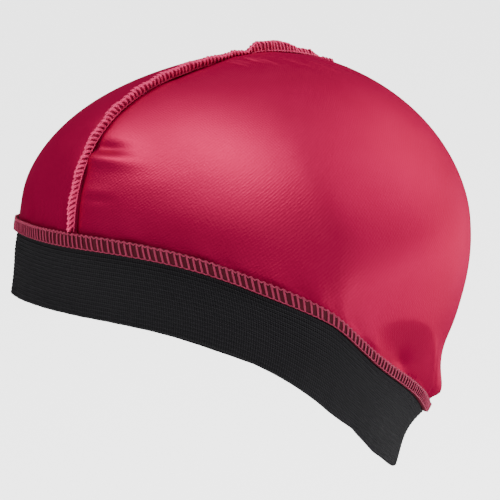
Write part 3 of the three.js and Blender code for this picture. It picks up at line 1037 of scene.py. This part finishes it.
def edge_material(name, colours):
    material, nodes, links, shader = material_nodes(name, Specular_IOR_Level=0.15)
    cloth = nodes.new("ShaderNodeTexCoord").outputs["UV"]
    fray = noise(nodes, links, cloth, scale=1400, stretch=(1, 0.3, 1))
    patches = noise(nodes, links, cloth, scale=120, detail=2)
    links.new(mixed(nodes, links, patches, *colours), shader.inputs["Base Color"])
    links.new(ranged(nodes, links, fray, low=0.5, high=0.8), shader.inputs["Roughness"])
    bumped(nodes, links, shader, [(fray, 0.0003, 0.8)])
    return material


def elastic_material():
    material, nodes, links, shader = material_nodes("elastic", Specular_IOR_Level=0.04)
    cloth = nodes.new("ShaderNodeTexCoord").outputs["UV"]
    rib_pitch = ELASTIC_WIDTH * MM / (2 * BAND_RIBS)
    ribs = bands(nodes, links, cloth, angle=90, pitch=rib_pitch, distortion=0.3)
    picks = bands(nodes, links, cloth, angle=0, pitch=0.0009, distortion=0.6)
    fuzz = noise(nodes, links, cloth, scale=1500)
    patches = noise(nodes, links, cloth, scale=60, stretch=(0.4, 1, 1))
    yarn = mixed(nodes, links, picks, *ELASTIC_COLOURS)
    shade = nodes.new("ShaderNodeMixRGB")
    shade.blend_type = "MULTIPLY"
    shade.inputs["Fac"].default_value = 0.5
    links.new(yarn, shade.inputs["Color1"])
    links.new(mixed(nodes, links, patches, (0.6, 0.6, 0.62), (1, 1, 1)), shade.inputs["Color2"])
    links.new(shade.outputs["Color"], shader.inputs["Base Color"])
    links.new(ranged(nodes, links, fuzz, low=0.62, high=0.9), shader.inputs["Roughness"])
    bumped(nodes, links, shader, [(ribs, 0.0002, 0.8), (picks, 0.00012, 0.6), (fuzz, 0.00015, 0.5)])
    return material


def thread_material(name, colours):
    material, nodes, links, shader = material_nodes(
        name, Specular_IOR_Level=0.2, Specular_Tint=(1, 0.5, 0.65, 1)
    )
    cloth = nodes.new("ShaderNodeTexCoord").outputs["UV"]
    twist = bands(nodes, links, cloth, angle=35, pitch=0.00045, distortion=0.2)
    patches = noise(nodes, links, cloth, scale=300, detail=2)
    links.new(mixed(nodes, links, patches, *colours), shader.inputs["Base Color"])
    links.new(ranged(nodes, links, twist, low=0.42, high=0.65), shader.inputs["Roughness"])
    bumped(nodes, links, shader, [(twist, 0.00012, 0.8)])
    return material


def floor():
    """A pale floor that doesn't mirror in the satin."""
    bpy.ops.mesh.primitive_plane_add(size=FLOOR_SIZE, location=(0, 0, FLOOR_Z))
    plane = bpy.context.object
    plane.name = "floor"
    plane.visible_glossy = False
    material, nodes, links, shader = material_nodes(
        "floor", Roughness=0.9, Emission_Color=(1, 1, 1, 1), Emission_Strength=FLOOR_GLOW
    )
    place = nodes.new("ShaderNodeTexCoord").outputs["Object"]
    cloud = noise(nodes, links, place, scale=3, detail=2)
    links.new(mixed(nodes, links, cloud, *FLOOR_COLOURS), shader.inputs["Base Color"])
    plane.data.materials.append(material)


make_camera()
floor()
for row in LIGHTS:
    softbox(row)
world = bpy.data.worlds.new("studio")
world.use_nodes = True
sky = world.node_tree.nodes["Background"]
sky.inputs["Color"].default_value = (1, 1, 1, 1)
sky.inputs["Strength"].default_value = WORLD_GLOW
bpy.context.scene.world = world

satin = satin_material()
centre_edges = edge_material("centre_seam_edges", CENTRE_EDGE_COLOURS)
band_edges = edge_material("band_seam_edges", BAND_EDGE_COLOURS)
elastic = elastic_material()
bright_thread = thread_material("seam_thread_bright", BRIGHT_THREAD_COLOURS)
# The band seam's copy of the seam thread is darker: painted shade
shaded_thread = thread_material("seam_thread_shaded", SHADED_THREAD_COLOURS)

pieces = [
    (crown_panel("crown_left_satin", 1, satin), "satin", "crown_left"),
    (crown_panel("crown_right_satin", -1, satin), "satin", "crown_right"),
    (seam_fin("centre_seam_edges", centre_edges), "satin", "centre_seam"),
    (fin_thread("centre_seam_thread", bright_thread), "seam_thread", "centre_seam"),
    (elastic_band("band_elastic", elastic), "elastic", "band"),
    (band_flange("band_seam_edges", band_edges), "satin", "band_seam"),
    (band_thread("band_seam_thread", shaded_thread), "seam_thread", "band_seam"),
]
for piece, slot, node in pieces:
    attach(piece, "root")
    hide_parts(node)
